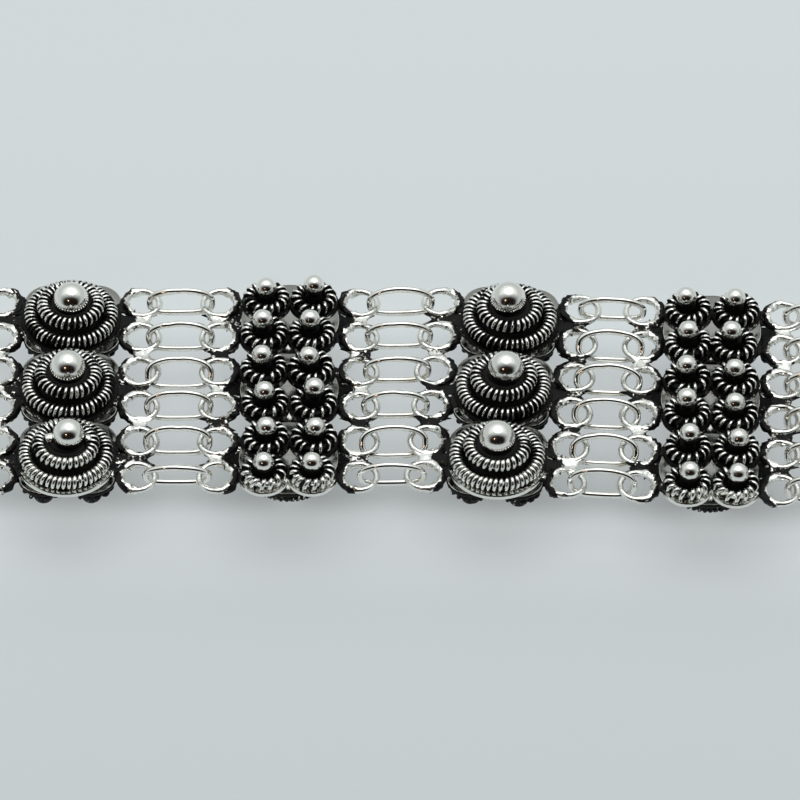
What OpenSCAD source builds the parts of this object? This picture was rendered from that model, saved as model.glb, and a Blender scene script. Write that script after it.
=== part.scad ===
// Filigree link bracelet: knob panels and rosette panels, joined by rows of oval links.
// It lies closed and doubled flat: five panels face up, and under them the rest of the
// loop runs back face down, from the clasp on the right to the fold links on the left.
// The band isn't quite straight: to the right it bends a little towards the viewer.

/* [Band] */
// Rows of rings across the band
ring_rows = 6; // [6]
// Distance from one row of rings to the next
row_pitch = 4.29; // [4.25:0.01:4.4]
// Distance between the two ring columns of a panel
panel_span = 12.5; // [12.4:0.05:13]
// Distances from ring column to ring column at the four gaps, left to right
gap_widths = [7.05, 6.55, 5.95, 6.6]; // [5.8:0.05:7.1]
// How far each panel of the upper layer lies off a straight line, left to right
slot_shift = [1, 1, 0.7, -0.35, -1]; // [-1:0.05:1]
// How far each of these panels is turned, in degrees
slot_turn = [0, 0, -4.2, -2.4, 0]; // [-4.5:0.1:0]

/* [Wire rings and links] */
// Thickness of the wire of rings and links
wire_d = 0.49; // [0.4:0.01:0.5]
// Radius of a ring, to the middle of its wire
ring_r = 1.6; // [1.55:0.01:1.65]
// Length of an oval link over all
link_length = 6.1; // [6:0.05:6.2]
// Height of an oval link over all
link_height = 3; // [2.9:0.05:3.1]

/* [Knob] */
// Diameter of a knob's base disc
knob_disc_d = 8.9; // [8.7:0.05:9]
// Radius of the outer coil, to the middle of the coil
outer_coil_r = 3.5; // [3.4:0.01:3.6]
// Half the thickness of the outer coil
outer_tube_r = 0.66; // [0.6:0.01:0.7]
// Radius of the inner coil, to the middle of the coil
inner_coil_r = 2.38; // [2.35:0.01:2.45]
// Half the thickness of the inner coil
inner_tube_r = 0.65; // [0.6:0.01:0.68]
// How much higher the inner coil lies than the outer one
inner_coil_rise = 1.2; // [1.1:0.02:1.25]
// Radius of the sloping core at its top, inside the inner coil
core_top_r = 1.7; // [1.6:0.05:1.8]
// Height of the core's top above the inner coil's plane
core_top_rise = 0.3; // [0.25:0.05:0.35]
// Radius of the collar between the core and the ball
collar_r = 1.45; // [1.4:0.05:1.5]
// Height of the collar above the core
collar_h = 0.25; // [0.2:0.05:0.3]
// Radius of a knob's ball
knob_ball_r = 1.6; // [1.5:0.01:1.65]
// Height of the ball's centre above the outer coil
knob_ball_rise = 2.3; // [2.2:0.02:2.4]

/* [Rosette] */
// Diameter of a rosette's base disc
rosette_disc_d = 4.45; // [4.4:0.05:4.5]
// Distance between the two columns of rosettes
rosette_pitch_x = 4.23; // [4.2:0.01:4.3]
// Radius of a rosette's coil, to the middle of the coil
rosette_coil_r = 1.55; // [1.5:0.01:1.6]
// Half the thickness of a rosette's coil
rosette_tube_r = 0.58; // [0.5:0.01:0.6]
// Radius of a rosette's ball
rosette_ball_r = 0.93; // [0.9:0.01:0.95]
// Height of the ball's centre above the coil
rosette_ball_rise = 1.3; // [1.2:0.02:1.35]
// Radius of the neck under the ball
neck_r = 0.7; // [0.6:0.05:0.75]

/* [Plates and solder] */
// Thickness of the base discs and of the clasp's plate
plate_t = 0.5; // [0.46:0.02:0.6]
// Thickness of the solder between rings and discs
solder_t = 0.38; // [0.3:0.02:0.4]
// Width of the solder from a knob's disc to a ring
knob_solder_w = 1.5; // [1.3:0.1:1.6]
// Width of the solder from a rosette's disc to a ring, and from ring to ring
ring_solder_w = 1.3; // [1.1:0.1:1.4]
// How far the solder reaches in over a disc's edge
solder_bite = 0.3; // [0.2:0.05:0.4]
// How deep a coil is sunk into the disc under it
coil_seat = 0.1; // [0.06:0.02:0.14]

/* [Clasp] */
// Length of the clasp's box along the band
clasp_box_l = 8.4; // [8:0.1:8.8]
// Width of the clasp's box across the band
clasp_box_w = 16.6; // [15:0.1:17]
// Length of the plate under the box
clasp_plate_l = 10; // [9.9:0.1:10.4]
// Bevel round the clasp's outer face
clasp_bevel = 0.6; // [0.3:0.1:0.9]

/* [How it lies] */
// Height of the upper layer above the lower one, from ring to ring
layer_rise = 2.2; // [2.2:0.05:2.5]
// How far the lower layer lies behind the upper one
layer_shift = 2.12; // [2:0.02:2.2]
// Depth of an upright link's lower side under the rings, wire middle to wire middle
link_drop = 0.95; // [0.9:0.01:1]
// Slack between a hanging fold link and the ring that carries it
fold_slack = 0.15; // [0.1:0.01:0.2]
// How far a fold link's middle lies outside the rings' free edges
fold_reach = 0.13; // [0.1:0.01:0.2]

/* [Hidden] */
$fn = 40;

bright_silver = [0.86, 0.86, 0.85];
dark_silver = [0.35, 0.35, 0.36];
plain_silver = [0.74, 0.74, 0.73];

wire_r = wire_d / 2;
last_row = ring_rows - 1;
last_slot = len(gap_widths);

// Heights above the rings' plane, which is the middle of a panel's discs
plate_top = plate_t / 2;
outer_coil_z = plate_top + outer_tube_r - coil_seat;
inner_coil_z = outer_coil_z + inner_coil_rise;
knob_ball_z = outer_coil_z + knob_ball_rise;
knob_h = knob_ball_z + knob_ball_r;
rosette_coil_z = plate_top + rosette_tube_r - coil_seat;
rosette_ball_z = rosette_coil_z + rosette_ball_rise;

// Heights of the two layers above the surface that the bracelet lies on
lower_z = knob_h;
upper_z = lower_z + layer_rise;

// Places along the band: slot 0 is the leftmost panel of either layer
function sum_to(values, count) = count == 0 ? 0 : values[count - 1] + sum_to(values, count - 1);
function slot_place(slot) = slot * panel_span + sum_to(gap_widths, slot);
function slot_x(slot) = slot_place(slot) - slot_place(last_slot) / 2;
function row_y(row) = (row - last_row / 2) * row_pitch;

// The middle of a ring in the plane of its layer, on the right (1) or left (-1) of its slot
function ring_xy(slot, side, row) =
    let (turn = slot_turn[slot], along = side * panel_span / 2)
    [slot_x(slot) + along * cos(turn) - row_y(row) * sin(turn),
     slot_shift[slot] + along * sin(turn) + row_y(row) * cos(turn)];
function link_xy(gap, row) = (ring_xy(gap, 1, row) + ring_xy(gap + 1, -1, row)) / 2;

// Backward lean of each link from upright, in degrees, by gap and then by row from the front
link_lean = [
    [-13, 19, 19, 44, 18, 6],
    [-6, 42, 10, 6, 7, 13],
    [15, 40, 32, 34, 42, -3],
    [10, 6, 14, 8, 12, 5],
];

// A link's half length and half height along the middle of its wire
oval_a = (link_length - wire_d) / 2;
oval_b = (link_height - wire_d) / 2;

module coil_ring(radius, tube) {
    rotate_extrude()
        translate([radius, 0])
            circle(tube);
}

// A link in the XY plane, long along X: two straight sides and two half rings
module oval_link() {
    side_l = 2 * (oval_a - oval_b);
    for (turn = [0, 180])
        rotate([0, 0, turn]) {
            translate([side_l / 2, 0, 0])
                rotate([0, 0, -90])
                    rotate_extrude(angle = 180)
                        translate([oval_b, 0])
                            circle(wire_r);
            translate([-side_l / 2, oval_b, 0])
                rotate([0, 90, 0])
                    cylinder(r = wire_r, h = side_l);
        }
}

// The rings on both sides of a panel, with the solder that joins each to the next
module ring_columns() {
    solder_l = row_pitch - 2 * ring_r;
    for (side = [-1, 1]) {
        for (row = [0:last_row])
            translate([side * panel_span / 2, row_y(row), 0])
                coil_ring(ring_r, wire_r);
        for (row = [0:last_row - 1])
            translate([side * panel_span / 2, row_y(row) + row_pitch / 2, 0])
                cube([ring_solder_w, solder_l, solder_t], center = true);
    }
}

// A strip of solder that runs outward from a disc's edge to a ring
module solder_strip(from, to, width) {
    translate([from, -width / 2, -solder_t / 2])
        cube([to - from, width, solder_t]);
}

module knob() {
    core_h = inner_coil_z + core_top_rise;
    color(dark_silver) {
        translate([0, 0, -plate_t / 2])
            cylinder(d = knob_disc_d, h = plate_t);
        translate([0, 0, outer_coil_z])
            coil_ring(outer_coil_r, outer_tube_r);
        translate([0, 0, inner_coil_z])
            coil_ring(inner_coil_r, inner_tube_r);
        cylinder(r1 = outer_coil_r, r2 = core_top_r, h = core_h);
        cylinder(r = collar_r, h = core_h + collar_h);
    }
    color(bright_silver)
        translate([0, 0, knob_ball_z])
            sphere(knob_ball_r);
}

module knob_panel() {
    knobs = ring_rows / 2;
    knob_pitch = 2 * row_pitch;
    strip_turn = atan2(row_pitch, panel_span);
    strip_end = norm([panel_span, row_pitch]) / 2 - ring_r;
    color(bright_silver)
        ring_columns();
    for (place = [0:knobs - 1])
        translate([0, (place - (knobs - 1) / 2) * knob_pitch, 0]) {
            knob();
            color(dark_silver)
                for (side = [0, 180], turn = [-strip_turn, strip_turn])
                    rotate([0, 0, side + turn])
                        solder_strip(knob_disc_d / 2 - solder_bite, strip_end, knob_solder_w);
        }
}

module rosette() {
    color(dark_silver) {
        translate([0, 0, -plate_t / 2])
            cylinder(d = rosette_disc_d, h = plate_t);
        translate([0, 0, rosette_coil_z])
            coil_ring(rosette_coil_r, rosette_tube_r);
        cylinder(r = neck_r, h = rosette_ball_z - rosette_ball_r / 2);
    }
    color(bright_silver)
        translate([0, 0, rosette_ball_z])
            sphere(rosette_ball_r);
}

module rosette_panel() {
    strip_start = rosette_pitch_x / 2 + rosette_disc_d / 2 - solder_bite;
    strip_end = panel_span / 2 - ring_r;
    color(bright_silver)
        ring_columns();
    for (row = [0:last_row])
        translate([0, row_y(row), 0]) {
            for (side = [-1, 1])
                translate([side * rosette_pitch_x / 2, 0, 0])
                    rosette();
            color(dark_silver)
                for (turn = [0, 180])
                    rotate([0, 0, turn])
                        solder_strip(strip_start, strip_end, ring_solder_w);
        }
}

// The clasp's closed box, with a bevel round its outer face, on the plate between its rings
module clasp_piece() {
    plate_w = last_row * row_pitch + 2 * ring_r;
    box_h = lower_z;
    color(plain_silver) {
        translate([-clasp_plate_l / 2, -plate_w / 2, -plate_t / 2])
            cube([clasp_plate_l, plate_w, plate_t]);
        intersection() {
            translate([-clasp_box_l / 2, -clasp_box_w / 2, 0])
                cube([clasp_box_l, clasp_box_w, box_h]);
            bevelled_along(clasp_box_l, clasp_box_w, box_h);
            rotate([0, 0, 90])
                bevelled_along(clasp_box_w, clasp_box_l, box_h);
        }
        ring_columns();
    }
}

// A bar along Y whose upper edges are bevelled
module bevelled_along(across, along, height) {
    half = across / 2;
    rotate([90, 0, 0])
        translate([0, 0, -along / 2])
            linear_extrude(along)
                polygon([
                    [-half, 0], [half, 0], [half, height - clasp_bevel],
                    [half - clasp_bevel, height], [clasp_bevel - half, height],
                    [-half, height - clasp_bevel],
                ]);
}

// Places a panel of the upper layer, face up, or of the lower layer, face down
module face_up(slot) {
    translate([slot_x(slot), slot_shift[slot] - layer_shift / 2, upper_z])
        rotate([0, 0, slot_turn[slot]])
            children();
}

module face_down(slot) {
    translate([slot_x(slot), slot_shift[slot] + layer_shift / 2, lower_z])
        rotate([0, 0, slot_turn[slot]])
            rotate([180, 0, 0])
                children();
}

// A row of links across one gap, each on edge through the rings at both its ends
module link_row(gap, shift, height) {
    color(bright_silver)
        for (row = [0:last_row]) {
            lean = link_lean[gap][row];
            rise = oval_b * cos(lean) - link_drop;
            translate([link_xy(gap, row)[0], link_xy(gap, row)[1] + shift, height + rise])
                rotate([90 - lean, 0, 0])
                    oval_link();
        }
}

module upper_links(gap) {
    link_row(gap, -layer_shift / 2, upper_z);
}

module lower_links(gap) {
    link_row(gap, layer_shift / 2, lower_z);
}

// The links at a fold hang from the upper rings, and the lower rings end in them. They lean
// as far as the lower layer lies back, so each passes through both its rings in the middle.
module fold_links(slot, side) {
    lean = atan2(layer_shift, layer_rise);
    middle_x = slot_x(slot) + side * (panel_span / 2 + ring_r + fold_reach);
    middle_z = upper_z + wire_d + fold_slack - oval_a * cos(lean);
    back = (upper_z - middle_z) * tan(lean) - layer_shift / 2;
    color(bright_silver)
        for (row = [0:last_row])
            translate([middle_x, row_y(row) + slot_shift[slot] + back, middle_z])
                rotate([lean, 0, 0])
                    rotate([90, 90, 0])
                        oval_link();
}

face_up(0) knob_panel();  // knob_panel_1
face_up(1) rosette_panel();  // rosette_panel_1
face_up(2) knob_panel();  // knob_panel_2
face_up(3) rosette_panel();  // rosette_panel_2
face_up(4) knob_panel();  // knob_panel_3
face_down(4) clasp_piece();  // clasp
face_down(3) knob_panel();  // knob_panel_4
face_down(2) rosette_panel();  // rosette_panel_3
face_down(1) knob_panel();  // knob_panel_5
face_down(0) rosette_panel();  // rosette_panel_4
upper_links(0);  // link_row_1
upper_links(1);  // link_row_2
upper_links(2);  // link_row_3
upper_links(3);  // link_row_4
fold_links(last_slot, 1);  // link_row_5
lower_links(3);  // link_row_6
lower_links(2);  // link_row_7
lower_links(1);  // link_row_8
lower_links(0);  // link_row_9
fold_links(0, -1);  // link_row_10
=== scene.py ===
import math
import random

import bmesh
import bpy
from mathutils import Matrix, Vector, noise


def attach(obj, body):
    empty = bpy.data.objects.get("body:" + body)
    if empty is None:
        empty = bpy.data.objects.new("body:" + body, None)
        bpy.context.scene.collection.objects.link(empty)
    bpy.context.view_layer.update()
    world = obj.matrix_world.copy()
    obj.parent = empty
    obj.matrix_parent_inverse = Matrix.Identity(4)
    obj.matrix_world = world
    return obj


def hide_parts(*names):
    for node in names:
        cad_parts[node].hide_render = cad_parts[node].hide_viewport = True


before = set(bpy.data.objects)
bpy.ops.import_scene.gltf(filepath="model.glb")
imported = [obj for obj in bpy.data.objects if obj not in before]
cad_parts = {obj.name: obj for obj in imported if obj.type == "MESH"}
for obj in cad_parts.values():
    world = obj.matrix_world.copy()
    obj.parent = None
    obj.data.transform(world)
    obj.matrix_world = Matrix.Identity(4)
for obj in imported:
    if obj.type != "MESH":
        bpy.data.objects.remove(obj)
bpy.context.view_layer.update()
print("frame loaded:", len(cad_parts), "nodes")

millimetre = 0.001  # every size below is in mm, and a finished piece is scaled by this
fullTurn = 2 * math.pi
sharpAngle = 50  # an edge that turns by more degrees than this stays sharp
mergeDistance = 0.001  # points closer together than this, in mm, count as one


# Camera: in front of the band and above it, with a long lens

cameraView = {
    "aim": (-8.66, -0.77, 6.34),
    "elevation": 46,
    "distance": 800,
    "pixelsPerMm": 11.26,
    "imageWidth": 800,
    "sensorWidth": 36,
    "clipStart": 0.01,
    "clipEnd": 20,
}


def placeCamera():
    tilt = math.radians(cameraView["elevation"])
    back = Vector((0, -math.cos(tilt), math.sin(tilt)))
    data = bpy.data.cameras.new("band_camera")
    data.sensor_width = cameraView["sensorWidth"]
    shownWidth = cameraView["imageWidth"] / cameraView["pixelsPerMm"]
    data.lens = data.sensor_width * cameraView["distance"] / shownWidth
    data.clip_start = cameraView["clipStart"]
    data.clip_end = cameraView["clipEnd"]
    camera = bpy.data.objects.new("band_camera", data)
    camera.location = (Vector(cameraView["aim"]) + back * cameraView["distance"]) * millimetre
    camera.rotation_euler = back.to_track_quat("Z", "Y").to_euler()
    bpy.context.scene.collection.objects.link(camera)
    bpy.context.scene.camera = camera


placeCamera()
print("camera placed")


# Small tools

def smoothStep(low, high, value):
    # from 0 at low to 1 at high, where low may be the greater
    share = min(1, max(0, (value - low) / (high - low)))
    return share * share * (3 - 2 * share)


def newSeed(chance):
    # where in the noise a unit's unevenness starts
    return chance.uniform(0, 100)


def turned(profile, steps):
    # a solid of revolution about Z from (radius, height) points
    unit = bmesh.new()
    verts = [unit.verts.new((radius, 0, height)) for radius, height in profile]
    edges = [unit.edges.new(pair) for pair in zip(verts, verts[1:])]
    bmesh.ops.spin(unit, geom=verts + edges, cent=(0, 0, 0), axis=(0, 0, 1), dvec=(0, 0, 0),
                   angle=fullTurn, steps=steps, use_merge=True)
    bmesh.ops.remove_doubles(unit, verts=unit.verts[:], dist=mergeDistance)
    bmesh.ops.recalc_face_normals(unit, faces=unit.faces[:])
    return unit


def wireRing(radius, wireRadius, steps, sides):
    unit = bmesh.new()
    bmesh.ops.create_circle(unit, segments=sides, radius=wireRadius)
    upright = Matrix.Translation((radius, 0, 0)) @ Matrix.Rotation(math.pi / 2, 4, "X")
    bmesh.ops.transform(unit, matrix=upright, verts=unit.verts[:])
    bmesh.ops.spin(unit, geom=unit.verts[:] + unit.edges[:], cent=(0, 0, 0), axis=(0, 0, 1),
                   dvec=(0, 0, 0), angle=fullTurn, steps=steps, use_merge=True)
    bmesh.ops.remove_doubles(unit, verts=unit.verts[:], dist=mergeDistance)
    bmesh.ops.recalc_face_normals(unit, faces=unit.faces[:])
    return unit


def drawnWire(path, wireRadius, roundness):
    # a closed loop of round wire along a path
    curve = bpy.data.curves.new("wire", "CURVE")
    curve.dimensions = "3D"
    curve.bevel_depth = wireRadius
    curve.bevel_resolution = roundness
    spline = curve.splines.new("POLY")
    spline.points.add(len(path) - 1)
    for knot, place in zip(spline.points, path):
        knot.co = (*place, 1)
    spline.use_cyclic_u = True
    holder = bpy.data.objects.new("wire", curve)
    drawn = bpy.data.meshes.new_from_object(holder)
    unit = bmesh.new()
    unit.from_mesh(drawn)
    bpy.data.objects.remove(holder)
    bpy.data.curves.remove(curve)
    bpy.data.meshes.remove(drawn)
    return unit


# How lumpy each kind of surface is, from 0 to 1
coarseness = {"darkSolder": 0.9, "brightSolder": 0.3, "drop": 1, "ring": 0.35, "coil": 0.12,
              "core": 0.3, "ball": 0.05, "disc": 0.15, "clasp": 0}


def join(metal, unit, place):
    unit.transform(place)
    passing = bpy.data.meshes.new("passing")
    unit.to_mesh(passing)
    unit.free()
    metal.from_mesh(passing)
    bpy.data.meshes.remove(passing)


def weld(metal, unit, place, wearAt, surface):
    # joins a unit to its panel, with how worn bright and how lumpy each point of it is
    worn = unit.verts.layers.float.new("wear")
    lumpy = unit.verts.layers.float.new("coarse")
    for vert in unit.verts:
        vert[worn] = wearAt(vert.co)
        vert[lumpy] = coarseness[surface]
    join(metal, unit, place)


def finishPiece(metal, name, place, material, node):
    metal.transform(Matrix.Scale(millimetre, 4) @ place)
    mesh = bpy.data.meshes.new(name)
    metal.to_mesh(mesh)
    metal.free()
    mesh.materials.append(material)
    mesh.shade_smooth()
    mesh.set_sharp_from_angle(angle=math.radians(sharpAngle))
    if "UVMap" in mesh.uv_layers:
        mesh.uv_layers.remove(mesh.uv_layers["UVMap"])
    piece = bpy.data.objects.new(name, mesh)
    bpy.context.scene.collection.objects.link(piece)
    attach(piece, "root")
    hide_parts(node)
    print(name, len(mesh.polygons), "faces")


def toLinear(hexColour):
    channels = [int(hexColour[place:place + 2], 16) / 255 for place in (1, 3, 5)]
    return [c / 12.92 if c <= 0.04045 else ((c + 0.055) / 1.055) ** 2.4 for c in channels] + [1]


def addNode(tree, kind, settings, links):
    node = tree.nodes.new("ShaderNode" + kind)
    for name, value in settings.items():
        if isinstance(name, int) or name in node.inputs:
            node.inputs[name].default_value = value
        else:
            setattr(node, name, value)
    for socket, source in links.items():
        tree.links.new(source, node.inputs[socket])
    return node


def newMaterial(name):
    material = bpy.data.materials.new(name)
    material.use_nodes = True
    tree = material.node_tree
    return material, tree, tree.nodes["Principled BSDF"]


# Silver blackened with sulphide, then polished on its high spots: a sharp, ragged change from
# bright metal to a nearly black crust, which the wear of each point decides. A wear of 2 stands
# for the panels' inner faces, which have neither crust nor polish and get an even grey darker
# than the silver: painted shade, as these faces lie between the two layers

blackening = {
    # inner: painted shade, the grey of the panels' inner faces between the two layers
    "inner": "#a3a29e",
    "crust": "#060505",
    "stain": "#5a524a",
    "silver": "#f1f1ec",
    "stainAt": 0.45,
    "crustEdge": (0.42, 0.58),
    "innerShadeFrom": (1.5, 1.8),
    "crustRoughness": 0.55,
    "silverRoughness": 0.16,
    "crustGloss": 0.2,
    "patchSize": 0.75,
    "patchShift": 0.28,
    "speckSize": 0.22,
    "speckShift": 0.14,
    "lumpHeight": 0.14,
    "grainShare": 0.5,
    "pitSize": 1.1,
    "pitEdge": (0.05, 0.14),
    "pitDepth": 0.02,
    "pitStrength": 0.6,
}
noiseRange = {1: 0.3, 2: 0.7}  # a noise texture's darkest and brightest usual values


def eitherWay(shift):
    # spreads a noise's usual range to as much below nothing as above it
    return {**noiseRange, 3: -shift, 4: shift}


def makeBlackenedSilver():
    material, tree, shader = newMaterial("blackened_silver")
    place = addNode(tree, "TexCoord", {}, {}).outputs["Object"]
    wear = addNode(tree, "Attribute", {"attribute_name": "wear"}, {}).outputs["Fac"]
    coarse = addNode(tree, "Attribute", {"attribute_name": "coarse"}, {}).outputs["Fac"]
    patches = addNode(tree, "TexNoise", {
        "Scale": 1 / (blackening["patchSize"] * millimetre), "Detail": 3, "Roughness": 0.6,
    }, {"Vector": place})
    specks = addNode(tree, "TexNoise", {
        "Scale": 1 / (blackening["speckSize"] * millimetre), "Detail": 2, "Roughness": 0.5,
    }, {"Vector": place})
    # raggedness: the patches and specks move the edge of the crust
    ragged = addNode(tree, "MapRange", eitherWay(blackening["patchShift"]),
                     {0: patches.outputs[0]})
    gritty = addNode(tree, "MapRange", eitherWay(blackening["speckShift"]),
                     {0: specks.outputs[0]})
    moved = addNode(tree, "Math", {"operation": "ADD"},
                    {0: ragged.outputs[0], 1: gritty.outputs[0]})
    total = addNode(tree, "Math", {"operation": "ADD"}, {0: wear, 1: moved.outputs[0]})
    edgeStart, edgeEnd = blackening["crustEdge"]
    bright = addNode(tree, "MapRange", {1: edgeStart, 2: edgeEnd}, {0: total.outputs[0]})
    colours = addNode(tree, "ValToRGB", {}, {0: bright.outputs[0]})
    ramp = colours.color_ramp
    ramp.elements[0].color = toLinear(blackening["crust"])
    ramp.elements[1].color = toLinear(blackening["silver"])
    ramp.elements.new(blackening["stainAt"]).color = toLinear(blackening["stain"])
    # the inner faces' even grey is painted shade between the layers
    innerStart, innerEnd = blackening["innerShadeFrom"]
    inner = addNode(tree, "MapRange", {1: innerStart, 2: innerEnd}, {0: wear})
    colour = addNode(tree, "Mix", {"data_type": "RGBA", 7: toLinear(blackening["inner"])},
                     {0: inner.outputs[0], 6: colours.outputs[0]})
    dull = addNode(tree, "MapRange", {
        3: blackening["crustRoughness"], 4: blackening["silverRoughness"],
    }, {0: bright.outputs[0]})
    # pits of the cast and soldered metal, and the lumps of the solder
    pits = addNode(tree, "TexVoronoi", {
        "Scale": 1 / (blackening["pitSize"] * millimetre), "feature": "F1",
    }, {"Vector": place})
    pitStart, pitEnd = blackening["pitEdge"]
    pitted = addNode(tree, "MapRange", {1: pitStart, 2: pitEnd}, {0: pits.outputs["Distance"]})
    lumps = addNode(tree, "Math", {"operation": "MULTIPLY"}, {0: patches.outputs[0], 1: coarse})
    grains = addNode(tree, "Math", {"operation": "MULTIPLY"}, {0: specks.outputs[0], 1: coarse})
    height = addNode(tree, "Math", {"operation": "MULTIPLY_ADD", 1: blackening["grainShare"]},
                     {0: grains.outputs[0], 2: lumps.outputs[0]})
    lumped = addNode(tree, "Bump", {
        "Distance": blackening["lumpHeight"] * millimetre, "Strength": 1,
    }, {"Height": height.outputs[0]})
    bumped = addNode(tree, "Bump", {
        "Distance": blackening["pitDepth"] * millimetre, "Strength": blackening["pitStrength"],
    }, {"Height": pitted.outputs[0], "Normal": lumped.outputs[0]})
    shader.inputs["Specular IOR Level"].default_value = blackening["crustGloss"]
    tree.links.new(colour.outputs[2], shader.inputs["Base Color"])
    tree.links.new(bright.outputs[0], shader.inputs["Metallic"])
    tree.links.new(dull.outputs[0], shader.inputs["Roughness"])
    tree.links.new(bumped.outputs[0], shader.inputs["Normal"])
    return material


# Drawn silver wire, tumbled bright: clear reflections with a faint drawn unevenness

brightWire = {
    "silver": "#f4f4f0",
    "warm": "#e4dccb",
    "warmSize": 1.6,
    "warmEdge": (0.52, 0.75),
    "waveSize": 0.9,
    "waveHeight": 0.03,
    "waveStrength": 0.5,
    "roughness": (0.07, 0.13),
}


def makeBrightSilver():
    material, tree, shader = newMaterial("bright_silver_wire")
    place = addNode(tree, "TexCoord", {}, {}).outputs["Object"]
    warmth = addNode(tree, "TexNoise", {
        "Scale": 1 / (brightWire["warmSize"] * millimetre), "Detail": 3,
    }, {"Vector": place})
    warmStart, warmEnd = brightWire["warmEdge"]
    tint = addNode(tree, "MapRange", {1: warmStart, 2: warmEnd}, {0: warmth.outputs[0]})
    colour = addNode(tree, "Mix", {
        "data_type": "RGBA",
        6: toLinear(brightWire["silver"]), 7: toLinear(brightWire["warm"]),
    }, {0: tint.outputs[0]})
    waves = addNode(tree, "TexNoise", {
        "Scale": 1 / (brightWire["waveSize"] * millimetre), "Detail": 2,
    }, {"Vector": place})
    smoothest, dullest = brightWire["roughness"]
    dull = addNode(tree, "MapRange", {**noiseRange, 3: smoothest, 4: dullest},
                   {0: waves.outputs[0]})
    bumped = addNode(tree, "Bump", {
        "Distance": brightWire["waveHeight"] * millimetre, "Strength": brightWire["waveStrength"],
    }, {"Height": waves.outputs[0]})
    shader.inputs["Metallic"].default_value = 1
    tree.links.new(colour.outputs[2], shader.inputs["Base Color"])
    tree.links.new(dull.outputs[0], shader.inputs["Roughness"])
    tree.links.new(bumped.outputs[0], shader.inputs["Normal"])
    return material


# Plain silver, brushed to a satin: soft reflections with long scratches, drawn wider than the
# brush leaves them so that they show

satin = {
    "silver": "#d9d9d4",
    "scratchWidth": 0.12,
    "scratchStretch": 12,
    "scratchDepth": 0.01,
    "scratchStrength": 0.3,
    "roughness": (0.28, 0.42),
}


def makeSatinSilver():
    material, tree, shader = newMaterial("satin_silver")
    place = addNode(tree, "TexCoord", {}, {}).outputs["Object"]
    stretch = satin["scratchStretch"]
    drawn = addNode(tree, "Mapping", {"Scale": (1, stretch, 1)}, {0: place})
    scratches = addNode(tree, "TexNoise", {
        "Scale": 1 / (satin["scratchWidth"] * stretch * millimetre), "Detail": 2,
    }, {"Vector": drawn.outputs[0]})
    smoothest, dullest = satin["roughness"]
    dull = addNode(tree, "MapRange", {**noiseRange, 3: smoothest, 4: dullest},
                   {0: scratches.outputs[0]})
    bumped = addNode(tree, "Bump", {
        "Distance": satin["scratchDepth"] * millimetre, "Strength": satin["scratchStrength"],
    }, {"Height": scratches.outputs[0]})
    shader.inputs["Metallic"].default_value = 1
    shader.inputs["Base Color"].default_value = toLinear(satin["silver"])
    tree.links.new(dull.outputs[0], shader.inputs["Roughness"])
    tree.links.new(bumped.outputs[0], shader.inputs["Normal"])
    return material


blackenedSilver = makeBlackenedSilver()
brightSilver = makeBrightSilver()
satinSilver = makeSatinSilver()
print("materials made")


# The band's layout, as in the construction

band = {
    "rows": 6,
    "rowPitch": 4.29,
    "panelSpan": 12.5,
    "gapWidths": (7.05, 6.55, 5.95, 6.6),
    "slotShift": (1, 1, 0.7, -0.35, -1),
    "slotTurn": (0, 0, -4.2, -2.4, 0),
    "lowerZ": 4.71,
    "upperZ": 6.91,
    "layerShift": 2.12,
}


def rowY(row):
    return (row - (band["rows"] - 1) / 2) * band["rowPitch"]


def slotX(slotNumber):
    def along(number):
        return number * band["panelSpan"] + sum(band["gapWidths"][:number])
    return along(slotNumber) - along(len(band["gapWidths"])) / 2


def slotPlace(slotNumber):
    turn = Matrix.Rotation(math.radians(band["slotTurn"][slotNumber]), 4, "Z")
    return Matrix.Translation((slotX(slotNumber), band["slotShift"][slotNumber], 0)) @ turn


def layerOffset(faceUp):
    if faceUp:
        return Vector((0, -band["layerShift"] / 2, band["upperZ"]))
    return Vector((0, band["layerShift"] / 2, band["lowerZ"]))


def layerPlace(slotNumber, faceUp):
    place = Matrix.Translation(layerOffset(faceUp)) @ slotPlace(slotNumber)
    return place if faceUp else place @ Matrix.Rotation(math.pi, 4, "X")


# Rings along both sides of a panel, soldered to each other

ringWire = {
    "radius": 1.6,
    "wireRadius": 0.26,
    "steps": 30,
    "sides": 8,
    "tilt": 3,
    "stretch": (0.97, 1.02),
    "wear": (0.22, 0.46),
    "outerPolish": 0.62,
    "outerEdge": (-0.25, -0.9),
    "innerPolish": 0.3,
    "innerEdge": (0.35, -0.35),
    "swelling": 0.3,
    "swellingEdge": (0.3, -0.6),
    "swellingSize": 2.4,
    "swellingLevel": 0.35,
}
solder = {
    "cuts": 5,
    "thickness": 0.38,
    "width": 1.3,
    "overlap": 0.35,
    "flare": 0.85,
    "ragged": 0.42,
    "raggedSpacing": (2.6, 0.6),
    "cornerRounding": 0.18,
    "sideThinning": 0.35,
    "middleThickness": 0.8,
    "endThickening": 0.35,
    "lumpHeight": 0.08,
    "lumpSize": 2.2,
    "brightFrom": 0.6,
    "brightShare": 0.45,
    "brightWear": (0.7, 0.95),
    "brightWidth": (0.9, 1.2),
    "brightShift": 0.12,
    "darkWear": (0.2, 0.45),
    "darkWidth": (1.1, 1.6),
    "dropSize": (0.18, 0.34),
    "dropWear": (0.35, 0.9),
    "dropFlatness": 0.55,
    "dropLumps": 0.5,
    "dropLumpSize": 3,
    "dropOutward": (-0.5, 0.6),
    "dropAlong": (0.3, 0.8),
    "dropRise": (0, 0.12),
}


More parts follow.
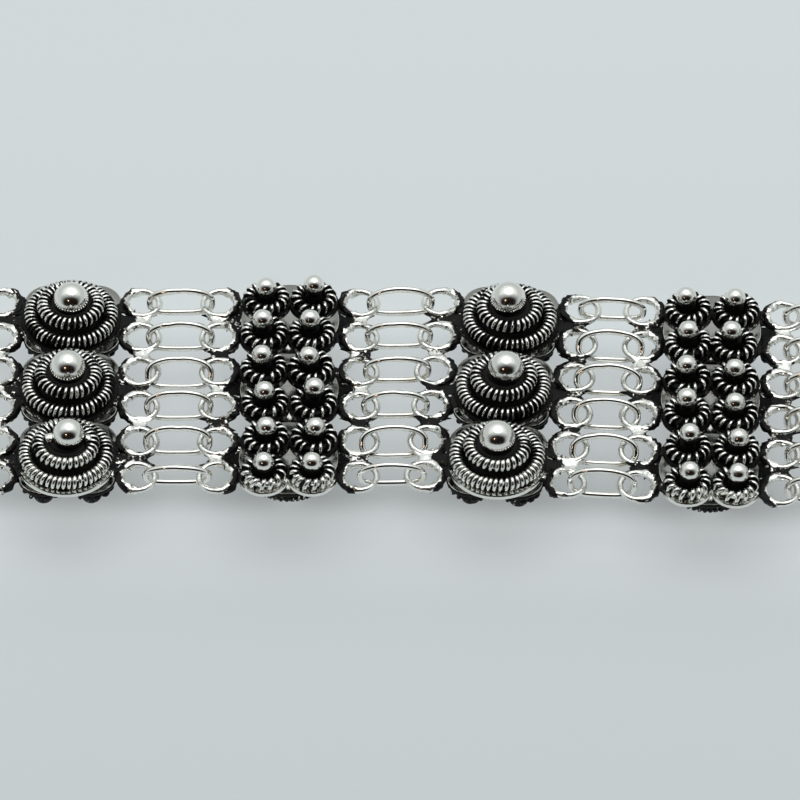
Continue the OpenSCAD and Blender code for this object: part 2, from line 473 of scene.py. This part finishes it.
def solderWeb(metal, length, width, place, wear, chance):
    # a fillet of solder, wider at its ends and thin at its sides
    unit = bmesh.new()
    bmesh.ops.create_cube(unit, size=1)
    bmesh.ops.subdivide_edges(unit, edges=unit.edges[:], cuts=solder["cuts"],
                              use_grid_fill=True)
    seed = newSeed(chance)
    stepAlong, stepAcross = solder["raggedSpacing"]
    for vert in unit.verts:
        along, across, up = vert.co * 2
        spread = solder["flare"] * (1 + along * along)
        edge = noise.noise(Vector((along * stepAlong, across * stepAcross, seed)))
        spread += solder["ragged"] * edge
        rounded = 1 - solder["cornerRounding"] * up * up
        thin = solder["middleThickness"] + solder["endThickening"] * along * along
        thin *= 1 - solder["sideThinning"] * across * across
        vert.co = (along * length / 2, across * width / 2 * spread * rounded,
                   up * solder["thickness"] / 2 * thin)
    shift = Vector((seed, 0, 0))
    for vert in unit.verts:
        vert.co.z += solder["lumpHeight"] * noise.noise(vert.co * solder["lumpSize"] + shift)
    surface = "brightSolder" if wear > solder["brightFrom"] else "darkSolder"
    weld(metal, unit, place, lambda at: wear, surface)


def solderDrop(metal, size, place, wear, chance):
    unit = bmesh.new()
    bmesh.ops.create_icosphere(unit, subdivisions=1, radius=size)
    shift = Vector((newSeed(chance), 0, 0))
    for vert in unit.verts:
        lump = noise.noise(vert.co * solder["dropLumpSize"] + shift)
        vert.co *= 1 + solder["dropLumps"] * lump
        vert.co.z *= solder["dropFlatness"]
    weld(metal, unit, place, lambda at: wear, "drop")


def swellRing(unit, side, chance):
    # solder has run round the panel's side of the ring
    unit.normal_update()
    shift = Vector((newSeed(chance), 0, 0))
    for vert in unit.verts:
        share = smoothStep(*ringWire["swellingEdge"], vert.co.x * side / ringWire["radius"])
        lump = ringWire["swellingLevel"] + noise.noise(vert.co * ringWire["swellingSize"] + shift)
        vert.co += vert.normal * share * max(0, lump) * ringWire["swelling"]


def addRings(metal, chance):
    reach = band["panelSpan"] / 2
    gap = band["rowPitch"] - 2 * ringWire["radius"]
    tilt = math.radians(ringWire["tilt"])
    for side in (-1, 1):
        for row in range(band["rows"]):
            worn = chance.uniform(*ringWire["wear"])

            def ringWear(at, side=side, worn=worn):
                outward = at.x * side / ringWire["radius"]
                inner = (ringWire["radius"] - math.hypot(at.x, at.y)) / ringWire["wireRadius"]
                polished = 1 - smoothStep(*ringWire["outerEdge"], outward)
                inner *= smoothStep(*ringWire["innerEdge"], outward)
                return worn + ringWire["outerPolish"] * polished + ringWire["innerPolish"] * inner

            unit = wireRing(ringWire["radius"], ringWire["wireRadius"],
                            ringWire["steps"], ringWire["sides"])
            swellRing(unit, side, chance)
            turns = Matrix.Rotation(chance.uniform(-tilt, tilt), 4, "X")
            turns @= Matrix.Rotation(chance.uniform(-tilt, tilt), 4, "Y")
            stretch = (chance.uniform(*ringWire["stretch"]), chance.uniform(*ringWire["stretch"]))
            turns @= Matrix.Diagonal((*stretch, 1, 1))
            place = Matrix.Translation((side * reach, rowY(row), 0)) @ turns
            weld(metal, unit, place, ringWear, "ring")
        for row in range(band["rows"] - 1):
            middle = rowY(row) + band["rowPitch"] / 2
            bright = chance.random() < solder["brightShare"]
            wear = chance.uniform(*solder["brightWear" if bright else "darkWear"])
            width = chance.uniform(*solder["brightWidth" if bright else "darkWidth"])
            outward = solder["brightShift"] if bright else 0
            place = Matrix.Translation((side * (reach + outward), middle, 0))
            solderWeb(metal, gap + solder["overlap"], solder["width"] * width,
                      place @ Matrix.Rotation(math.pi / 2, 4, "Z"), wear, chance)
            for end in (-1, 1):
                spot = Vector((side * (reach + chance.uniform(*solder["dropOutward"])),
                               middle + end * chance.uniform(*solder["dropAlong"]),
                               chance.uniform(*solder["dropRise"])))
                solderDrop(metal, chance.uniform(*solder["dropSize"]), Matrix.Translation(spot),
                           chance.uniform(*solder["dropWear"]), chance)


# Wound wire: a wire coiled round a core, and the coil bent to a ring

winding = {
    "perTurn": 12,
    "roundness": 2,
    "coreShare": 0.5,
    "coreSteps": 28,
    "coreSides": 6,
    "coreDarkness": 0.2,
    "unevenSpacing": 2.2,
    "unevenTube": 0.1,
    "tubeFineness": 3,
    "unevenRing": 0.01,
    "noiseRadius": 1.6,
    "squeeze": 0.985,
    "lowestWear": 0.04,
    "crestPolish": 0.88,
    "crestDepth": 0.42,
    "seatPolish": 0.35,
    "seatHeight": 0.25,
}


def woundPath(coil, chance):
    swing = coil["tube"] - coil["wire"]
    total = coil["turns"] * winding["perTurn"]
    seed = newSeed(chance)
    start = chance.uniform(0, fullTurn)
    path = []
    for step in range(total):
        angle = fullTurn * step / total
        circling = Vector((math.cos(angle) * winding["noiseRadius"],
                           math.sin(angle) * winding["noiseRadius"], seed))
        turn = coil["turns"] * angle + start
        turn += winding["unevenSpacing"] * noise.noise(circling)
        swell = 1 + winding["unevenTube"] * noise.noise(circling * winding["tubeFineness"])
        reach = coil["radius"] * (1 + winding["unevenRing"] * math.sin(2 * angle + seed))
        reach += swing * swell * math.cos(turn)
        path.append((reach * math.cos(angle), reach * math.sin(angle) * winding["squeeze"],
                     coil["height"] + swing * swell * math.sin(turn)))
    return path


def addWoundRing(metal, coil, place, brightness, chance):
    tube, wire, height = coil["tube"], coil["wire"], coil["height"]

    def crestWear(at):
        # bright on the outer arc of each turn, black where the turns face each other
        outward = math.hypot(at.x, at.y / winding["squeeze"]) - coil["radius"]
        away = math.hypot(outward, at.z - height)
        crest = smoothStep(tube - winding["crestDepth"] * wire, tube, away)
        # turns are less polished down where the coil sits on its disc
        seat = smoothStep(height - tube, height - (1 - winding["seatHeight"]) * tube, at.z)
        polish = winding["seatPolish"] + (1 - winding["seatPolish"]) * seat
        return winding["lowestWear"] + winding["crestPolish"] * crest * polish + brightness(at)

    unit = drawnWire(woundPath(coil, chance), wire, winding["roundness"])
    weld(metal, unit, place, crestWear, "coil")
    core = wireRing(coil["radius"], tube * winding["coreShare"], winding["coreSteps"],
                    winding["coreSides"])
    squeezed = Matrix.Diagonal((1, winding["squeeze"], 1, 1))
    weld(metal, core, place @ Matrix.Translation((0, 0, height)) @ squeezed,
         lambda at: brightness(at) - winding["coreDarkness"], "core")


ballFinish = {
    "unevenness": 0.012,
    "sinking": 0.7,
    "edgeUnevenness": (-0.1, 0.12),
    "edgeBelow": 0.2,
    "edgeAbove": 0.25,
    "crustWear": 0.12,
    "polish": 0.95,
}


def addBall(metal, radius, place, steps, polish, chance):
    around, upward = steps
    unit = bmesh.new()
    bmesh.ops.create_uvsphere(unit, u_segments=around, v_segments=upward, radius=radius)
    shift = Vector((newSeed(chance), 0, 0))
    crustEdge = chance.uniform(*ballFinish["edgeUnevenness"]) + polish["crustEdge"]
    for vert in unit.verts:
        bump = noise.noise(vert.co / radius + shift) - ballFinish["sinking"]
        vert.co *= 1 + ballFinish["unevenness"] * bump

    def ballWear(at):
        polished = smoothStep(crustEdge - ballFinish["edgeBelow"],
                              crustEdge + ballFinish["edgeAbove"], at.z / radius)
        return ballFinish["crustWear"] + ballFinish["polish"] * polished

    weld(metal, unit, place, ballWear, "ball")


# What both kinds of panel share: the discs under their coils, and how far each layer's outer face
# was polished after blackening. The hidden lower layer is darker, with more crust on its balls and
# darker coil turns: painted shade, as it lies under the upper layer

panel = {
    "discHalf": 0.25,
    "backShare": 0.6,
    "rimCut": 0.1,
    "topCut": 0.08,
    "rimWear": 0.05,
    "rimPolishWidth": 0.2,
    "rimPolishEdge": (0, 0.6),
    "innerShadeWear": 2,
    "innerDepth": 0.02,
    "shineEdge": (0.05, 0.7),
    "stripStart": 0.35,
    "stripOverlap": 0.3,
}
upperPolish = {"turns": 0, "crustEdge": 0.02}
# painted shade: the lower layer's balls are crusted higher and its coil turns darkened
lowerPolishAndShade = {"turns": -0.5, "crustEdge": 0.5}


def frontShine(radius, share, base):
    # the front row has lost its crust on its outer side
    def shine(at):
        return base + share * smoothStep(*panel["shineEdge"], -at.y / radius)
    return shine


def discProfile(rim, flat):
    # from the middle of the flat back, round the rim and in over the top
    half, cut = panel["discHalf"], panel["rimCut"]
    return ((0, -half), (rim * panel["backShare"], -half), (rim - cut, -half),
            (rim, cut - half), (rim, half - cut), (rim - panel["topCut"], half),
            (rim - flat, half))


def discWear(rim, edgePolish, shine, shineFrom, shineTo):
    def wear(at):
        # the flat back, between the two layers, gets the grey of painted shade
        if at.z < panel["innerDepth"] - panel["discHalf"]:
            return panel["innerShadeWear"]
        away = math.hypot(at.x, at.y)
        edge = smoothStep(rim - panel["rimPolishWidth"], rim, away)
        edge *= smoothStep(*panel["rimPolishEdge"], -at.y / rim)
        shone = shine(at) * smoothStep(shineFrom, shineTo, away)
        return panel["rimWear"] + edgePolish * edge + shone
    return wear


# Knob panel: three knobs, each a disc, two wound rings and a ball on a collar

knob = {
    "discRadius": 4.446,
    "discSteps": 56,
    "edgePolish": 0.4,
    "shineFrom": (3.3, 4),
    "rimFlat": 0.3,
    "slope": ((3.2, 0.25), (2.8, 0.8), (2.3, 1.5), (1.75, 2.31), (1.5, 2.36)),
    "collar": ((1.42, 2.56), (1, 2.61), (0, 2.61)),
    "outerCoil": {"radius": 3.58, "tube": 0.66, "wire": 0.185, "turns": 50, "height": 0.79},
    "innerCoil": {"radius": 2.38, "tube": 0.64, "wire": 0.19, "turns": 32, "height": 2.01},
    "ballSteps": (32, 20),
    "solderWidth": 1.5,
    "stripWear": (0.05, 0.4),
    "cornerX": 4.95,
    "cornerLength": 1.5,
    "cornerWear": (0.05, 0.35),
    "frontShare": 0.58,
    "filletSize": 0.5,
    "filletPlace": (0.3, 0.1, -0.62),
}

# The balls of each knob panel, front to back: radius, height and how far it sits to the right
usualBalls = ((1.6, 3.1, 0), (1.6, 3.1, 0), (1.6, 3.1, 0))
seenBalls = {
    1: ((1.39, 3.3, 0.27), (1.6, 2.9, -0.03), (1.6, 2.72, 0.06)),
    2: ((1.6, 3.1, 0), (1.6, 3.1, 0.2), (1.6, 3.1, -0.15)),
}
filletPanels = (1,)  # here bright solder fills both sides of the front ball


def addFillets(metal, place, ball, chance):
    radius, height, across = ball
    outward, behind, above = knob["filletPlace"]
    for side in (-1, 1):
        spot = Vector((across + side * (radius + outward), behind, height + above))
        solderDrop(metal, knob["filletSize"], place @ Matrix.Translation(spot), 1, chance)


def addKnob(metal, place, ball, front, polish, chance):
    shine = frontShine(knob["outerCoil"]["radius"], knob["frontShare"] if front else 0,
                       polish["turns"])
    rim = knob["discRadius"]
    body = turned((*discProfile(rim, knob["rimFlat"]), *knob["slope"], *knob["collar"]),
                  knob["discSteps"])
    weld(metal, body, place, discWear(rim, knob["edgePolish"], shine, *knob["shineFrom"]), "disc")
    addWoundRing(metal, knob["outerCoil"], place, shine, chance)
    addWoundRing(metal, knob["innerCoil"], place, shine, chance)
    radius, height, across = ball
    spot = place @ Matrix.Translation((across, 0, height))
    addBall(metal, radius, spot, knob["ballSteps"], polish, chance)


def makeKnobPanel(number, slotNumber, faceUp, chance):
    metal = bmesh.new()
    addRings(metal, chance)
    side = math.atan2(band["rowPitch"], band["panelSpan"])
    stripEnd = math.hypot(band["panelSpan"], band["rowPitch"]) / 2 - ringWire["radius"]
    stripStart = knob["discRadius"] - panel["stripStart"]
    polish = upperPolish if faceUp else lowerPolishAndShade
    for row, ball in enumerate(seenBalls.get(number, usualBalls)):
        # a knob takes up two rows of rings
        place = Matrix.Translation((0, (row - 1) * 2 * band["rowPitch"], 0))
        addKnob(metal, place, ball, faceUp and row == 0, polish, chance)
        if number in filletPanels and row == 0:
            addFillets(metal, place, ball, chance)
        for turn in (side, -side, math.pi - side, math.pi + side):
            strip = place @ Matrix.Rotation(turn, 4, "Z")
            strip @= Matrix.Translation(((stripStart + stripEnd) / 2, 0, 0))
            solderWeb(metal, stripEnd - stripStart + panel["stripOverlap"], knob["solderWidth"],
                      strip, chance.uniform(*knob["stripWear"]), chance)
        for end in (-1, 1):
            corner = place @ Matrix.Translation((end * knob["cornerX"], 0, 0))
            solderWeb(metal, knob["cornerLength"], knob["solderWidth"], corner,
                      chance.uniform(*knob["cornerWear"]), chance)
    finishPiece(metal, f"silver_knob_panel_{number}", layerPlace(slotNumber, faceUp),
                blackenedSilver, f"knob_panel_{number}")


# Rosette panel: twelve small rosettes, each a disc, an open wound ring and a ball on a neck

rosette = {
    "discRadius": 2.225,
    "discSteps": 36,
    "edgePolish": 0.35,
    "shineFrom": (1.2, 1.8),
    "rimFlat": 0.25,
    "foot": ((0.95, 0.3), (0.76, 0.55)),
    "neck": ((0.68, 1.1), (0.68, 1.45), (0.4, 1.5), (0, 1.5)),
    "columnX": 2.115,
    "coil": {"radius": 1.55, "tube": 0.57, "wire": 0.2, "height": 0.73},
    "turns": (14, 15, 16),
    "ballRadius": 0.95,
    "ballHeight": 2.03,
    "ballSteps": (24, 15),
    "stripWear": (0.05, 0.45),
    "frontShare": 0.72,
}

# How far each rosette's ball leans to the right and stands higher, left column then right
# column, front row to back row
seenLean = {
    1: (((0, -0.1), (0, -0.1)), ((0.19, -0.1), (0.29, -0.15)), ((0, 0), (0.17, 0.42)),
        ((-0.27, 0.2), (-0.37, 0)), ((-0.26, 0.32), (-0.27, 0.32)), ((0, 0), (0.06, 0.35))),
    2: (((0.37, 0.05), (0.37, 0)), ((0.27, 0.4), (0.34, -0.05)), ((-0.07, 0.43), (-0.04, 0)),
        ((-0.15, 0.2), (-0.14, -0.1)), ((-0.1, 0.18), (-0.5, 0.3)), ((-0.4, 0.1), (-0.23, 0.1))),
}
usualLean = (((0, 0), (0, 0)),) * band["rows"]


def addRosette(metal, place, lean, front, polish, chance):
    shine = frontShine(rosette["coil"]["radius"], rosette["frontShare"] if front else 0,
                       polish["turns"])
    rim = rosette["discRadius"]
    body = turned((*discProfile(rim, rosette["rimFlat"]), *rosette["foot"], *rosette["neck"]),
                  rosette["discSteps"])
    weld(metal, body, place, discWear(rim, rosette["edgePolish"], shine, *rosette["shineFrom"]),
         "disc")
    coil = {**rosette["coil"], "turns": chance.choice(rosette["turns"])}
    addWoundRing(metal, coil, place, shine, chance)
    across, rise = lean
    spot = Matrix.Translation((across / 2, 0, rosette["ballHeight"] + rise))
    addBall(metal, rosette["ballRadius"], place @ spot, rosette["ballSteps"], polish, chance)


def makeRosettePanel(number, slotNumber, faceUp, chance):
    metal = bmesh.new()
    addRings(metal, chance)
    stripStart = rosette["columnX"] + rosette["discRadius"] - panel["stripStart"]
    stripEnd = band["panelSpan"] / 2 - ringWire["radius"]
    polish = upperPolish if faceUp else lowerPolishAndShade
    for row, leans in enumerate(seenLean.get(number, usualLean)):
        for side, lean in zip((-1, 1), leans):
            # the whole rosette takes half of the lean, and its ball the rest
            place = Matrix.Translation((side * rosette["columnX"] + lean[0] / 2, rowY(row), 0))
            addRosette(metal, place, lean, faceUp and row == 0, polish, chance)
            strip = Matrix.Translation((side * (stripStart + stripEnd) / 2, rowY(row), 0))
            solderWeb(metal, stripEnd - stripStart + panel["stripOverlap"], solder["width"], strip,
                      chance.uniform(*rosette["stripWear"]), chance)
    finishPiece(metal, f"silver_rosette_panel_{number}", layerPlace(slotNumber, faceUp),
                blackenedSilver, f"rosette_panel_{number}")


# Clasp: a closed box with a bevelled outer face, on a plate between its rings

clasp = {
    "boxLength": 8.4,
    "boxWidth": 16.6,
    "plateLength": 10,
    "plateHalf": 0.25,
    "bevel": 0.6,
    "softEdge": 0.08,
}


def claspBlock(size, middle, outerBevel):
    unit = bmesh.new()
    bmesh.ops.create_cube(unit, size=1)
    unit.transform(Matrix.Translation(middle) @ Matrix.Diagonal((*size, 1)))
    nearTop = max(vert.co.z for vert in unit.verts) - mergeDistance
    if outerBevel:
        outer = [edge for edge in unit.edges if all(vert.co.z > nearTop for vert in edge.verts)]
        bmesh.ops.bevel(unit, geom=outer, offset=outerBevel, offset_type="OFFSET", segments=1,
                        profile=0.5, affect="EDGES", material=-1)
    bmesh.ops.bevel(unit, geom=unit.edges[:], offset=clasp["softEdge"], offset_type="OFFSET",
                    segments=2, profile=0.5, affect="EDGES", material=-1)
    return unit


def makeClasp(slotNumber, chance):
    metal = bmesh.new()
    addRings(metal, chance)
    plateWidth = (band["rows"] - 1) * band["rowPitch"] + 2 * ringWire["radius"]
    plate = claspBlock((clasp["plateLength"], plateWidth, 2 * clasp["plateHalf"]), (0, 0, 0), 0)
    weld(metal, plate, Matrix.Identity(4), lambda at: 1, "clasp")
    height = band["lowerZ"]
    box = claspBlock((clasp["boxLength"], clasp["boxWidth"], height), (0, 0, height / 2),
                     clasp["bevel"])
    weld(metal, box, Matrix.Identity(4), lambda at: 1, "clasp")
    finishPiece(metal, "silver_clasp", layerPlace(slotNumber, False), satinSilver, "clasp")


# Links: ovals of bright wire on edge through the rings, each a little different. Those at a fold
# hang from the upper rings, where their wire's middle is foldRise above the rings' middle

linkWire = {
    "halfLength": 2.805,
    "halfHeight": 1.255,
    "wireRadius": 0.265,
    "steps": 56,
    "roundness": 4,
    "drop": 0.95,
    "topFullness": (2, 2.3),
    "bottomFullness": 3.4,
    "yaw": 1.5,
    "kink": 0.09,
    "kinkReach": 1.2,
    "kinkWidth": 0.35,
    "kinkAbove": 0.5,
    "waver": 0.02,
    "foldWireRadius": 0.24,
    "foldX": 7.98,
    "foldRise": 0.64,
}
# how far each link leans back, in degrees: a gap to a line, front row to back row
linkLean = (
    (-13, 19, 19, 44, 18, 6),
    (-6, 42, 10, 6, 7, 13),
    (15, 40, 32, 34, 42, -3),
    (10, 6, 14, 8, 12, 5),
)


def linkPath(chance):
    # a squared oval, fuller below, with a small kink in its top
    topFullness = chance.uniform(*linkWire["topFullness"])
    kinkAt = chance.uniform(-linkWire["kinkReach"], linkWire["kinkReach"])
    kink = chance.uniform(-1, 1) * linkWire["kink"]
    path = []
    for step in range(linkWire["steps"]):
        angle = fullTurn * step / linkWire["steps"]
        along, up = math.cos(angle), math.sin(angle)
        fullness = topFullness if up > 0 else linkWire["bottomFullness"]
        x = math.copysign(abs(along) ** (2 / fullness), along) * linkWire["halfLength"]
        y = math.copysign(abs(up) ** (2 / fullness), up) * linkWire["halfHeight"]
        if up > linkWire["kinkAbove"]:
            y -= abs(kink) * math.exp(-((x - kinkAt) / linkWire["kinkWidth"]) ** 2)
        path.append((x, y, linkWire["waver"] * math.sin(2 * angle + kinkAt)))
    return path


def makeLinkRow(number, places, wireRadius, chance):
    metal = bmesh.new()
    yaw = math.radians(linkWire["yaw"])
    for place in places:
        unit = drawnWire(linkPath(chance), wireRadius, linkWire["roundness"])
        join(metal, unit, place @ Matrix.Rotation(chance.uniform(-yaw, yaw), 4, "Y"))
    finishPiece(metal, f"silver_link_row_{number}", Matrix.Identity(4), brightSilver,
                f"link_row_{number}")


def flatPlaces(gap, faceUp):
    reach = band["panelSpan"] / 2
    places = []
    for row in range(band["rows"]):
        left = slotPlace(gap) @ Vector((reach, rowY(row), 0))
        right = slotPlace(gap + 1) @ Vector((-reach, rowY(row), 0))
        lean = math.radians(linkLean[gap][row])
        rise = Vector((0, 0, linkWire["halfHeight"] * math.cos(lean) - linkWire["drop"]))
        along = math.atan2(right.y - left.y, right.x - left.x)
        standing = Matrix.Rotation(along, 4, "Z") @ Matrix.Rotation(math.pi / 2 - lean, 4, "X")
        middle = (left + right) / 2 + layerOffset(faceUp) + rise
        places.append(Matrix.Translation(middle) @ standing)
    return places


def foldPlaces(slotNumber, side):
    # the fold links hang from the upper rings and lean back to the lower ones
    rise = band["upperZ"] - band["lowerZ"]
    lean = math.atan2(band["layerShift"], rise)
    z = band["upperZ"] + linkWire["foldRise"] - linkWire["halfLength"] * math.cos(lean)
    back = (band["upperZ"] - z) * math.tan(lean) - band["layerShift"] / 2
    upright = Matrix.Rotation(math.pi / 2, 4, "X") @ Matrix.Rotation(side * math.pi / 2, 4, "Z")
    leaning = Matrix.Rotation(lean, 4, "X") @ upright
    x = slotX(slotNumber) + side * linkWire["foldX"]
    y = band["slotShift"][slotNumber] + back
    return [Matrix.Translation((x, y + rowY(row), z)) @ leaning for row in range(band["rows"])]


# Each piece's number, its place along the band, and whether it lies face up
knobPanels = ((1, 0, True), (2, 2, True), (3, 4, True), (4, 3, False), (5, 1, False))
rosettePanels = ((1, 1, True), (2, 3, True), (3, 2, False), (4, 0, False))

chance = random.Random(17)  # the seed of all the unevenness
for number, slotNumber, faceUp in knobPanels:
    makeKnobPanel(number, slotNumber, faceUp, chance)
for number, slotNumber, faceUp in rosettePanels:
    makeRosettePanel(number, slotNumber, faceUp, chance)
makeClasp(4, chance)
# rows 1 to 4 join the upper panels, rows 6 to 9 the lower ones, and rows 5 and 10 are the folds
for gap in range(len(band["gapWidths"])):
    makeLinkRow(gap + 1, flatPlaces(gap, True), linkWire["wireRadius"], chance)
    makeLinkRow(9 - gap, flatPlaces(gap, False), linkWire["wireRadius"], chance)
makeLinkRow(5, foldPlaces(4, 1), linkWire["foldWireRadius"], chance)
makeLinkRow(10, foldPlaces(0, -1), linkWire["foldWireRadius"], chance)
print("band made")


# Floor: a wide pale sheet of paper

floorSheet = {
    "size": 6,
    "below": 0.02,
    "paper": "#adb2b3",
    "roughness": 0.75,
    "fibreSize": 0.8,
    "fibreHeight": 0.02,
    "fibreStrength": 0.2,
    # painted glow: the colour of the light the paper itself gives off, which lifts the band's
    # shadow
    "paintedGlow": "#eef4f6",
    "nearStrength": 0.27,
    "farStrength": 0.36,
    "reach": 50,
    "stripEnds": (44, 52),
    "bandBend": ((-12, 1), (38, -1)),
}
# How much painted glow is added to the paper at each distance from the band's middle, front to
# back, to lighten the band's shadow. The real band lies on the paper, and its shadow is narrower
# than a raised one's
shadowRelief = ((-23, 0), (-19.3, 0.01), (-15.6, 0.09), (-13.2, 0.16), (-11.3, 0.2), (-10.1, 0.2),
                (-8.8, 0.1), (-7.4, -0.02), (-5.5, 0.02), (-3, 0.06), (0, 0.12), (8, 0.12),
                (12.8, 0.04), (17, 0.03), (20, 0))


def makeFloor():
    material, tree, shader = newMaterial("pale_paper")
    place = addNode(tree, "TexCoord", {}, {}).outputs["Object"]
    fibres = addNode(tree, "TexNoise", {
        "Scale": 1 / (floorSheet["fibreSize"] * millimetre), "Detail": 3,
    }, {"Vector": place})
    bumped = addNode(tree, "Bump", {
        "Distance": floorSheet["fibreHeight"] * millimetre, "Strength": floorSheet["fibreStrength"],
    }, {"Height": fibres.outputs[0]})
    shader.inputs["Base Color"].default_value = toLinear(floorSheet["paper"])
    shader.inputs["Roughness"].default_value = floorSheet["roughness"]
    tree.links.new(bumped.outputs[0], shader.inputs["Normal"])
    # painted glow: the paper gives off light of its own, less of it towards the viewer, and more
    # where the band's shadow falls
    parts = addNode(tree, "SeparateXYZ", {}, {0: place})
    reach = floorSheet["reach"] * millimetre
    glow = addNode(tree, "MapRange", {
        1: -reach, 2: reach, 3: floorSheet["nearStrength"], 4: floorSheet["farStrength"],
    }, {0: parts.outputs["Y"]})
    (left, leftShift), (right, rightShift) = floorSheet["bandBend"]
    bend = addNode(tree, "MapRange", {
        1: left * millimetre, 2: right * millimetre,
        3: leftShift * millimetre, 4: rightShift * millimetre,
    }, {0: parts.outputs["X"]})
    straight = addNode(tree, "Math", {"operation": "SUBTRACT"},
                       {0: parts.outputs["Y"], 1: bend.outputs[0]})
    across = addNode(tree, "MapRange", {1: -reach, 2: reach}, {0: straight.outputs[0]})
    relief = addNode(tree, "ValToRGB", {}, {0: across.outputs[0]})
    ramp = relief.color_ramp
    ramp.interpolation = "B_SPLINE"
    # a middle grey stands for no change, because a ramp has no negative colours
    ramp.elements.remove(ramp.elements[1])
    ramp.elements[0].color = (0.5, 0.5, 0.5, 1)
    for distance, more in shadowRelief:
        share = (distance / floorSheet["reach"] + 1) / 2
        ramp.elements.new(share).color = (0.5 + more, 0.5 + more, 0.5 + more, 1)
    level = addNode(tree, "MapRange", {3: -0.5, 4: 0.5}, {0: relief.outputs[0]})
    sideways = addNode(tree, "Math", {"operation": "ABSOLUTE"}, {0: parts.outputs["X"]})
    under = addNode(tree, "MapRange", {
        "interpolation_type": "SMOOTHSTEP", 1: floorSheet["stripEnds"][0] * millimetre,
        2: floorSheet["stripEnds"][1] * millimetre, 3: 1, 4: 0,
    }, {0: sideways.outputs[0]})
    paintedGlow = addNode(tree, "Math", {"operation": "MULTIPLY_ADD"},
                        {0: level.outputs[0], 1: under.outputs[0], 2: glow.outputs[0]})
    shader.inputs["Emission Color"].default_value = toLinear(floorSheet["paintedGlow"])
    tree.links.new(paintedGlow.outputs[0], shader.inputs["Emission Strength"])
    unit = bmesh.new()
    bmesh.ops.create_grid(unit, x_segments=4, y_segments=4, size=floorSheet["size"] / 2)
    mesh = bpy.data.meshes.new("paper_floor")
    unit.to_mesh(mesh)
    unit.free()
    mesh.materials.append(material)
    floor = bpy.data.objects.new("paper_floor", mesh)
    floor.location.z = -floorSheet["below"] * millimetre
    bpy.context.scene.collection.objects.link(floor)


makeFloor()


# Light: a white tent, dark on the side where the photo was taken from, a soft lamp overhead and a
# small warm one

tent = {
    "white": "#f4f9f8",
    "sideStrength": 0.62,
    "overheadStrength": 1.05,
    "opening": "#1c1511",
    "openingMiddle": 0.3,
    "openingHalfWidth": 0.95,
    "openingHalfHeight": 0.72,
    "openingEdge": (0.7, 1.08),
    "frontEdge": (-0.02, -0.15),
    "roofEdge": (0.4, 0.9),
}
lamps = {
    "soft_lamp": {"azimuth": 165, "elevation": 80, "distance": 1, "size": (0.9, 0.86),
                  "power": 2.4, "colour": "#ffffff"},
    "warm_lamp": {"azimuth": -24, "elevation": 37, "distance": 0.75, "size": (0.05, 0.05),
                  "power": 0.07, "colour": "#ffd2b0"},
}


def makeTent():
    world = bpy.data.worlds.new("white_tent")
    world.use_nodes = True
    bpy.context.scene.world = world
    tree = world.node_tree
    toward = addNode(tree, "TexCoord", {}, {}).outputs["Generated"]
    parts = addNode(tree, "SeparateXYZ", {}, {0: toward})
    # an oval opening in front, from the floor to nearly overhead
    wide, high = 1 / tent["openingHalfWidth"], 1 / tent["openingHalfHeight"]
    oval = addNode(tree, "Mapping", {
        "Scale": (wide, 0, high), "Location": (0, 0, -tent["openingMiddle"] * high),
    }, {0: toward})
    reach = addNode(tree, "VectorMath", {"operation": "LENGTH"}, {0: oval.outputs[0]})
    smooth = {"interpolation_type": "SMOOTHSTEP"}
    ovalStart, ovalEnd = tent["openingEdge"]
    inside = addNode(tree, "MapRange", {**smooth, 1: ovalStart, 2: ovalEnd, 3: 1, 4: 0},
                     {0: reach.outputs["Value"]})
    frontStart, frontEnd = tent["frontEdge"]
    ahead = addNode(tree, "MapRange", {**smooth, 1: frontStart, 2: frontEnd, 3: 0, 4: 1},
                    {0: parts.outputs["Y"]})
    opening = addNode(tree, "Math", {"operation": "MULTIPLY"},
                      {0: inside.outputs[0], 1: ahead.outputs[0]})
    colour = addNode(tree, "Mix", {
        "data_type": "RGBA", 6: toLinear(tent["white"]), 7: toLinear(tent["opening"]),
    }, {0: opening.outputs[0]})
    roofStart, roofEnd = tent["roofEdge"]
    brightness = addNode(tree, "MapRange", {
        **smooth, 1: roofStart, 2: roofEnd, 3: tent["sideStrength"], 4: tent["overheadStrength"],
    }, {0: parts.outputs["Z"]})
    background = tree.nodes["Background"]
    tree.links.new(colour.outputs[2], background.inputs["Color"])
    tree.links.new(brightness.outputs[0], background.inputs["Strength"])


def makeLamp(name, setup):
    turn, tilt = math.radians(setup["azimuth"]), math.radians(setup["elevation"])
    back = Vector((math.sin(turn) * math.cos(tilt), -math.cos(turn) * math.cos(tilt),
                   math.sin(tilt)))
    light = bpy.data.lights.new(name, "AREA")
    light.shape = "ELLIPSE"
    light.size, light.size_y = setup["size"]
    light.energy = setup["power"]
    light.color = toLinear(setup["colour"])[:3]
    lamp = bpy.data.objects.new(name, light)
    lamp.location = back * setup["distance"]
    lamp.rotation_euler = back.to_track_quat("Z", "Y").to_euler()
    bpy.context.scene.collection.objects.link(lamp)


makeTent()
for name, setup in lamps.items():
    makeLamp(name, setup)
bpy.context.scene.view_settings.view_transform = "Standard"
print("floor and light made")
